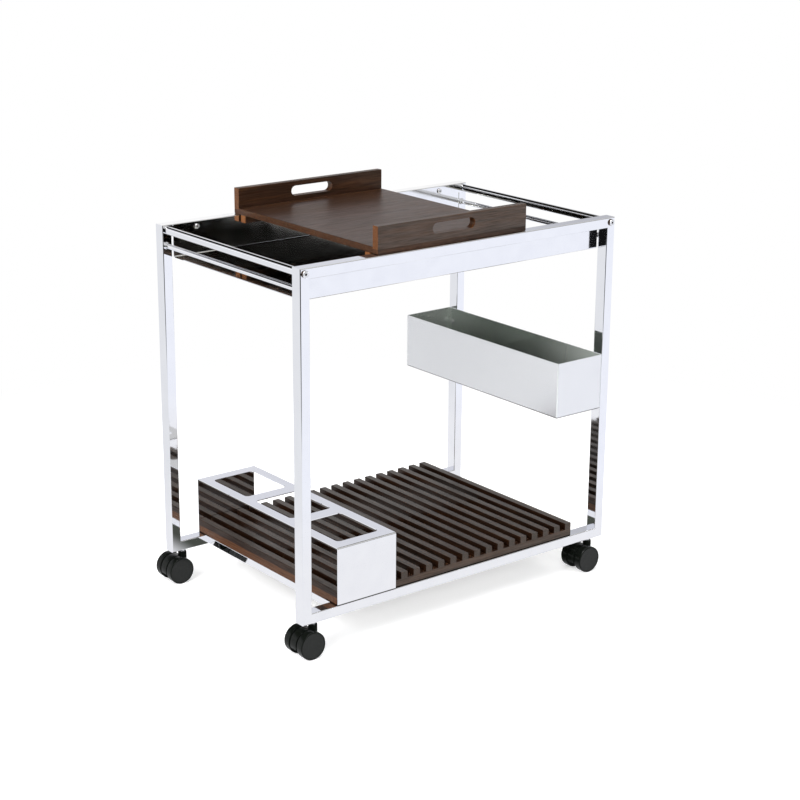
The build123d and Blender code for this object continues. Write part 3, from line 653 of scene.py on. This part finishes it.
class CART_OT_hardware(bpy.types.Operator):
    """Plated steel on the screws, plugs, stems and axles"""
    bl_idname = "cart.hardware"
    bl_label = "Screws and stems"

    def execute(self, context):
        finish, shapes = context.scene.cart_finish, context.scene.cart_shapes
        steel = zinc_steel(finish, "steel_zinc_plated")
        dress(HARDWARE, steel)
        corner = Screw(shapes.corner_head, shapes.corner_rise, shapes.corner_shank, shapes.corner_length)
        sheet = Screw(shapes.sheet_head, shapes.sheet_rise, shapes.sheet_shank, shapes.sheet_length)
        # Corner screws face outwards, pan screws inwards. Their seats lie a head or a shank inside the box.
        for node, screw, seat, face, outwards in (
                ("corner_screws", corner, corner.rise, 0.0, 1),
                ("pan_screws", sheet, sheet.reach, sheet.reach + sheet.rise, -1)):
            # Their heads get a painted shade on the rims and in the sockets.
            low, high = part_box(node)
            rows = ((low.y + seat, -outwards), (high.y - seat, outwards))
            self.screws(node, screw, [
                ((x, y, (low.z + high.z) / 2), (0, side, 0))
                for x in (low.x + screw.head / 2, high.x - screw.head / 2) for y, side in rows],
                zinc_steel(finish, f"steel_{node}", high.y - face))
        low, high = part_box("caddy_screws")
        self.screws("caddy_screws", sheet, [
            ((high.x - sheet.reach, y, z), (-1, 0, 0))
            for y in (low.y + sheet.head / 2, high.y - sheet.head / 2)
            for z in (low.z + sheet.head / 2, high.z - sheet.head / 2)], steel)
        return {"FINISHED"}

    def screws(self, node, screw, places, steel):
        """Flat-headed screws at places (seat of the head, way it faces), each with a hexagon socket."""
        radius, bolt, rise = screw.head / 2, screw.shank / 2, screw.rise
        # The socket's reach, the rounding and the socket's floor are shares of the head.
        key, edge, floor = 0.4 * radius, 0.4 * rise, 0.4 * rise

        def hexagon(t):
            """Reach of a hexagon over its corners': cos 30 / cos of the angle from the nearest flat."""
            return math.cos(math.pi / 6) / np.cos(t % (math.pi / 3) - math.pi / 6)

        t = np.linspace(0, math.pi / 2, 8)
        rounding = np.column_stack(
            [rise - edge + edge * np.sin(t), radius - edge + edge * np.cos(t), np.zeros(len(t))])
        body = np.concatenate([
            [(-screw.reach, 0, 0), (-screw.reach, bolt, 0), (0, bolt, 0), (0, radius, 0)],
            rounding, [(rise, key, 1), (floor, key, 1), (floor, 0, 0)]])
        shells = [lathe(body, seat, way, turns=48, outline=hexagon) for seat, way in places]
        make_piece(f"{node}_turned", shells, "cart", steel, [node])


class CART_OT_rods(bpy.types.Operator):
    """Round guard rods under the end rails"""
    bl_idname = "cart.rods"
    bl_label = "Guard rods"

    def execute(self, context):
        chrome = chrome_plate(
            context.scene.cart_finish, "chrome_plate_rod", wave_size=60 * MM, wave_height=0.01 * MM)
        dress(["rod_ferrules"], chrome)
        edge = context.scene.cart_shapes.rod_edge
        for end in ENDS:
            low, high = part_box(f"{end}_guard_rod")
            radius, half = (high.z - low.z) / 2, (high.y - low.y) / 2
            profile = arc_corners([(-half, 0), (-half, radius), (half, radius), (half, 0)], (edge, edge))
            rod = lathe(profile, (low + high) / 2, (0, 1, 0), turns=64)
            make_piece(f"{end}_round_rod", [rod], "cart", chrome, [f"{end}_guard_rod"])
        return {"FINISHED"}


class CART_OT_casters(bpy.types.Operator):
    """Moulded twin wheels and hoods"""
    bl_idname = "cart.casters"
    bl_label = "Casters"

    def execute(self, context):
        shapes = context.scene.cart_shapes
        row = self.middle("front_left_axle").y
        wheels = [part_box(f"front_left_{place}_wheel") for place in WHEELS]
        # The inner faces, and a little of the rounding beside them, are matt, a painted shade between the
        # wheels.
        inner = min(abs(edge.y - row) for wheel in wheels for edge in wheel) + 0.3 * MM
        nylon = caster_nylon(context.scene.cart_finish, abs(row), inner)
        for caster in CASTERS:
            stem, axle = self.middle(f"{caster}_stem"), self.middle(f"{caster}_axle")
            self.hood(f"{caster}_hood", f"{caster}_caster", stem, axle, shapes, nylon)
            for place in WHEELS:
                self.wheel(f"{caster}_{place}_wheel", axle, shapes, nylon)
        return {"FINISHED"}

    def middle(self, node):
        """Middle of a node's box."""
        low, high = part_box(node)
        return (low + high) / 2

    def hood(self, name, body, stem, axle, shapes, nylon):
        """A cowl between the wheels, round but cut level below, and a bored neck on the stem."""
        low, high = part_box(name)
        radius, half = axle.x - low.x + shapes.hood_rise, (high.y - low.y) / 2
        skirt = axle.z - low.z
        edge, shoulder, step = shapes.hood_edge, half - shapes.hood_gap, radius - shapes.hood_step

        def cut_round(t):
            """Reach of a cut circle over its radius: 1, and below the level cut skirt / radius / -cos t."""
            return np.minimum(1.0, skirt / radius / np.maximum(-np.cos(t), 1e-6))

        rounds = arc_corners(
            [(-half, 0), (-half, step), (-shoulder, step), (-shoulder, radius),
             (shoulder, radius), (shoulder, step), (half, step), (half, 0)],
            (0, 0, edge, edge, 0, 0), steps=8)
        profile = np.column_stack([rounds, np.ones(len(rounds))])
        cowl = lathe(profile, axle, (0, 1, 0), turns=128, outline=cut_round)
        outside, inside = shapes.neck_width / 2, shapes.neck_bore / 2
        top, lower_edge, upper_edge = high.z - shapes.neck_drop, 0.3 * MM, 0.8 * MM
        loop = arc_corners(
            [(low.z, inside), (low.z, outside), (top, outside), (top, inside)], (lower_edge, upper_edge))
        neck = sleeve(loop, (stem.x, stem.y, 0), (0, 0, 1), turns=64)
        make_piece(f"{name}_moulded", [cowl, neck], body, nylon, [name])

    def wheel(self, name, axle, shapes, nylon):
        """A tread rounded at both edges, with a lip and a shallow round panel on its outer face."""
        low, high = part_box(name)
        middle, size = (low + high) / 2, high - low
        half, radius = size.y / 2, size.z / 2
        panel = radius - shapes.wheel_edge - shapes.wheel_lip
        floor = half - shapes.wheel_dish
        lip_edge, floor_edge = 0.2 * MM, 0.3 * MM
        profile = arc_corners(
            [(-half, 0), (-half, radius), (half, radius), (half, panel),
             (floor, panel - shapes.wheel_dish), (floor, 0)],
            (shapes.wheel_inner_edge, shapes.wheel_edge, lip_edge, floor_edge), steps=8)
        side = 1.0 if middle.y > axle.y else -1.0
        wheel = lathe(profile, middle, (0, side, 0))
        make_piece(f"{name}_moulded", [wheel], name, nylon, [name])


class CART_OT_stage(bpy.types.Operator):
    """Pale floor, soft boxes, room and camera"""
    bl_idname = "cart.stage"
    bl_label = "Studio"

    def execute(self, context):
        scene = context.scene
        stage = scene.cart_stage
        scene.view_settings.view_transform = "Standard"
        view = self.camera(scene, stage)
        self.floor(scene, stage, view)
        self.backdrop(scene, stage)
        self.lamps(scene, stage)
        self.room(scene, stage)
        return {"FINISHED"}

    def camera(self, scene, stage):
        """Camera at the eye: yaw about Z, pitch down, then roll about the view."""
        forward = np.array([math.sin(stage.yaw) * math.cos(stage.pitch),
                            math.cos(stage.yaw) * math.cos(stage.pitch), -math.sin(stage.pitch)])
        right = np.array([math.cos(stage.yaw), -math.sin(stage.yaw), 0.0])
        up = np.cross(right, forward)
        turned_right = right * math.cos(stage.roll) + up * math.sin(stage.roll)
        turned_up = up * math.cos(stage.roll) - right * math.sin(stage.roll)
        camera = bpy.data.objects.new("camera", bpy.data.cameras.new("camera"))
        camera.data.lens = stage.lens
        camera.data.clip_end = CAMERA_REACH
        camera.matrix_world = standing(turned_right, turned_up, -forward, stage.eye)
        scene.collection.objects.link(camera)
        scene.camera = camera
        return forward

    def sheet(self, scene, name, corners, material):
        """A flat sheet of paper between four corners."""
        mesh = bpy.data.meshes.new(name)
        mesh.from_pydata(corners, [], [(0, 1, 2, 3)])
        mesh.materials.append(material)
        sheet = bpy.data.objects.new(name, mesh)
        scene.collection.objects.link(sheet)
        return sheet

    def floor(self, scene, stage, view):
        """A wide sheet, white to the eye, that takes the shadow. In the chrome it is white beside the cart,
        shaded under the deck, greyer to the left and dark towards the camera, outside the lamps."""
        material, tree = new_material("floor_paper")
        path = add(tree, "ShaderNodeLightPath").outputs
        place = add(tree, "ShaderNodeTexCoord").outputs["Object"]
        away = add(tree, "ShaderNodeVectorMath", {0: place}, operation="LENGTH")
        # To the eye: lit paper that takes the shadow near the cart, and plain white further out.
        fade = add(tree, "ShaderNodeMapRange", {"Value": away, "From Min": 0.7, "From Max": 1.6}, **SMOOTH)
        paper = add(tree, "ShaderNodeBsdfDiffuse", {"Color": stage.floor})
        glow = add(tree, "ShaderNodeMath", {0: path["Is Camera Ray"], 1: 0.45}, operation="MULTIPLY")
        glow = add(tree, "ShaderNodeEmission", {"Strength": glow})
        lit = add(tree, "ShaderNodeAddShader", {0: paper, 1: glow})
        far = add(tree, "ShaderNodeMath", {0: path["Is Camera Ray"], 1: fade}, operation="MULTIPLY")
        white = add(tree, "ShaderNodeEmission", {"Strength": 1.0})
        seen = add(tree, "ShaderNodeMixShader", {"Fac": far, 1: lit, 2: white})
        # In the chrome: one tone left and one right of the view, then beside and under the cart.
        ahead = np.array([view[0], view[1], 0.0]) / math.hypot(view[0], view[1])
        aside = np.array([ahead[1], -ahead[0], 0.0])
        right = add(tree, "ShaderNodeVectorMath", {0: place, 1: aside}, operation="DOT_PRODUCT")
        right = add(tree, "ShaderNodeMapRange", {"Value": right, "From Min": -0.5, "From Max": 0.3}, **SMOOTH)
        shade = add(tree, "ShaderNodeMix", {
            "Factor": right, "A": stage.floor_far, "B": stage.floor_near}, data_type="RGBA")
        beside = add(tree, "ShaderNodeMapRange", {"Value": away, "From Min": 0.5, "From Max": 1.1}, **SMOOTH)
        shade = add(tree, "ShaderNodeMix", {
            "Factor": beside, "A": stage.floor_beside, "B": shade}, data_type="RGBA")
        spread = add(tree, "ShaderNodeSeparateXYZ", {"Vector": place}).outputs
        sides = [add(tree, "ShaderNodeMapRange", {
            "Value": spread[axis], "From Min": start, "From Max": full}, **SMOOTH)
            for axis, start, full in DECK_SHADE]
        under = reduce(lambda one, other: add(
            tree, "ShaderNodeMath", {0: one, 1: other}, operation="MULTIPLY"), sides)
        shade = add(tree, "ShaderNodeMix", {
            "Factor": under, "A": shade, "B": stage.floor_under}, data_type="RGBA")
        near = add(tree, "ShaderNodeVectorMath", {0: place, 1: -ahead}, operation="DOT_PRODUCT")
        near = add(tree, "ShaderNodeMapRange", {
            "Value": near, "From Min": 1.35, "From Max": 1.9, "To Min": 1.0, "To Max": 0.008}, **SMOOTH)
        mirror = add(tree, "ShaderNodeEmission", {"Color": shade, "Strength": near})
        mirrored = add(tree, "ShaderNodeMath", {
            0: path["Is Glossy Ray"], 1: path["Is Transmission Ray"]}, operation="MAXIMUM")
        mixed = add(tree, "ShaderNodeMixShader", {"Fac": mirrored, 1: seen, 2: mirror})
        add(tree, "ShaderNodeOutputMaterial", {"Surface": mixed})
        reach = FLOOR_REACH
        corners = [(-reach, -reach, 0), (reach, -reach, 0), (reach, reach, 0), (-reach, reach, 0)]
        self.sheet(scene, "floor_sheet", corners, material)

    def backdrop(self, scene, stage):
        """A white sheet behind the cart, seen only in the chrome: a little greyer near the floor, grey above
        1.8 m, dark from 3 m like the ceiling, and dimmer to the right."""
        material, tree = new_material("backdrop_paper")
        place = add(tree, "ShaderNodeTexCoord").outputs["Object"]
        spread = add(tree, "ShaderNodeSeparateXYZ", {"Vector": place}).outputs
        shade = stage.floor_far
        for start, full, tone in (
                (0.6, 1.3, stage.backdrop), (1.62, 1.82, stage.wall), (2.4, 2.95, stage.ceiling)):
            height = add(tree, "ShaderNodeMapRange", {
                "Value": spread["Z"], "From Min": start, "From Max": full}, **SMOOTH)
            shade = add(tree, "ShaderNodeMix", {"Factor": height, "A": shade, "B": tone}, data_type="RGBA")
        level = add(tree, "ShaderNodeMapRange", {
            "Value": spread["X"], "From Min": 3.2, "From Max": 4.6, "To Min": 1.06, "To Max": 0.75}, **SMOOTH)
        glow = add(tree, "ShaderNodeEmission", {"Color": shade, "Strength": level})
        add(tree, "ShaderNodeOutputMaterial", {"Surface": glow})
        reach, back, top = BACKDROP_REACH, BACKDROP_PLACE, BACKDROP_HEIGHT
        corners = [(-reach, back, 0), (reach, back, 0), (reach, back, top), (-reach, back, top)]
        sheet = self.sheet(scene, "backdrop_sheet", corners, material)
        sheet.visible_camera = sheet.visible_diffuse = sheet.visible_shadow = False

    def lamps(self, scene, stage):
        """Soft boxes from the left, from above and from the front, aimed at the middle of the cart."""
        for name, place, size, power in LAMPS:
            lamp = bpy.data.lights.new(name, "AREA")
            lamp.size = size
            lamp.energy = getattr(stage, power)
            box = bpy.data.objects.new(name, lamp)
            back = np.array(place) - np.array(LAMP_AIM)
            back /= np.linalg.norm(back)
            side = np.cross((0.0, 1.0, 0.0) if abs(back[2]) > 0.9 else (0.0, 0.0, 1.0), back)
            side /= np.linalg.norm(side)
            box.matrix_world = standing(side, np.cross(back, side), back, place)
            box.visible_glossy = False
            scene.collection.objects.link(box)

    def room(self, scene, stage):
        """White to the eye. In the chrome it is dark but for soft boxes above, in front and at both ends."""
        world = bpy.data.worlds.new("studio_room")
        scene.world = world
        world.use_nodes = True
        tree = world.node_tree
        tree.nodes.clear()
        path = add(tree, "ShaderNodeLightPath").outputs
        place = add(tree, "ShaderNodeTexCoord").outputs["Generated"]
        boxes = []
        for way, outer, inner, level in SOFT_BOXES:
            facing = add(tree, "ShaderNodeVectorMath", {0: place, 1: way}, operation="DOT_PRODUCT")
            boxes.append(add(tree, "ShaderNodeMapRange", {
                "Value": facing, "From Min": outer, "From Max": inner, "To Max": level}, **SMOOTH))
        shine = reduce(lambda one, other: add(
            tree, "ShaderNodeMath", {0: one, 1: other}, operation="MAXIMUM"), boxes)
        shine = add(tree, "ShaderNodeVectorMath", {0: stage.backdrop[:3], "Scale": shine}, operation="SCALE")
        shine = add(tree, "ShaderNodeVectorMath", {0: shine, 1: stage.ceiling[:3]})
        even = (stage.room, stage.room, stage.room, 1.0)
        even = add(tree, "ShaderNodeMix", {
            "Factor": path["Is Glossy Ray"], "A": even, "B": shine}, data_type="RGBA")
        clear = add(tree, "ShaderNodeMath", {
            0: path["Is Camera Ray"], 1: path["Is Transmission Ray"]}, operation="MAXIMUM")
        level = add(tree, "ShaderNodeMix", {
            "Factor": clear, "A": even, "B": (1.0, 1.0, 1.0, 1.0)}, data_type="RGBA")
        light = add(tree, "ShaderNodeBackground", {"Color": level, "Strength": 1.0})
        add(tree, "ShaderNodeOutputWorld", {"Surface": light})


class CART_PT_panel(bpy.types.Panel):
    """Lists the cart's sizes, colours and operators"""
    bl_idname = "CART_PT_panel"
    bl_label = "Service cart"
    bl_space_type = "VIEW_3D"
    bl_region_type = "UI"
    bl_category = "Cart"

    def draw(self, context):
        for name in GROUPS:
            group = getattr(context.scene, name)
            for value in group.__annotations__:
                self.layout.prop(group, value)
        for operator in OPERATORS:
            self.layout.operator(operator.bl_idname)


GROUPS = {"cart_finish": CartFinish, "cart_shapes": CartShapes, "cart_stage": CartStage}
OPERATORS = (CART_OT_frame, CART_OT_sheets, CART_OT_deck, CART_OT_tray, CART_OT_hardware,
             CART_OT_rods, CART_OT_casters, CART_OT_stage)


def register():
    for kind in (*GROUPS.values(), *OPERATORS, CART_PT_panel):
        bpy.utils.register_class(kind)
    for name, group in GROUPS.items():
        setattr(bpy.types.Scene, name, PointerProperty(type=group))


def unregister():
    for name in GROUPS:
        delattr(bpy.types.Scene, name)
    for kind in reversed((*GROUPS.values(), *OPERATORS, CART_PT_panel)):
        bpy.utils.unregister_class(kind)


def main():
    register()
    for operator in OPERATORS:
        module, name = operator.bl_idname.split(".")
        getattr(getattr(bpy.ops, module), name)()


if __name__ == "__main__":
    main()
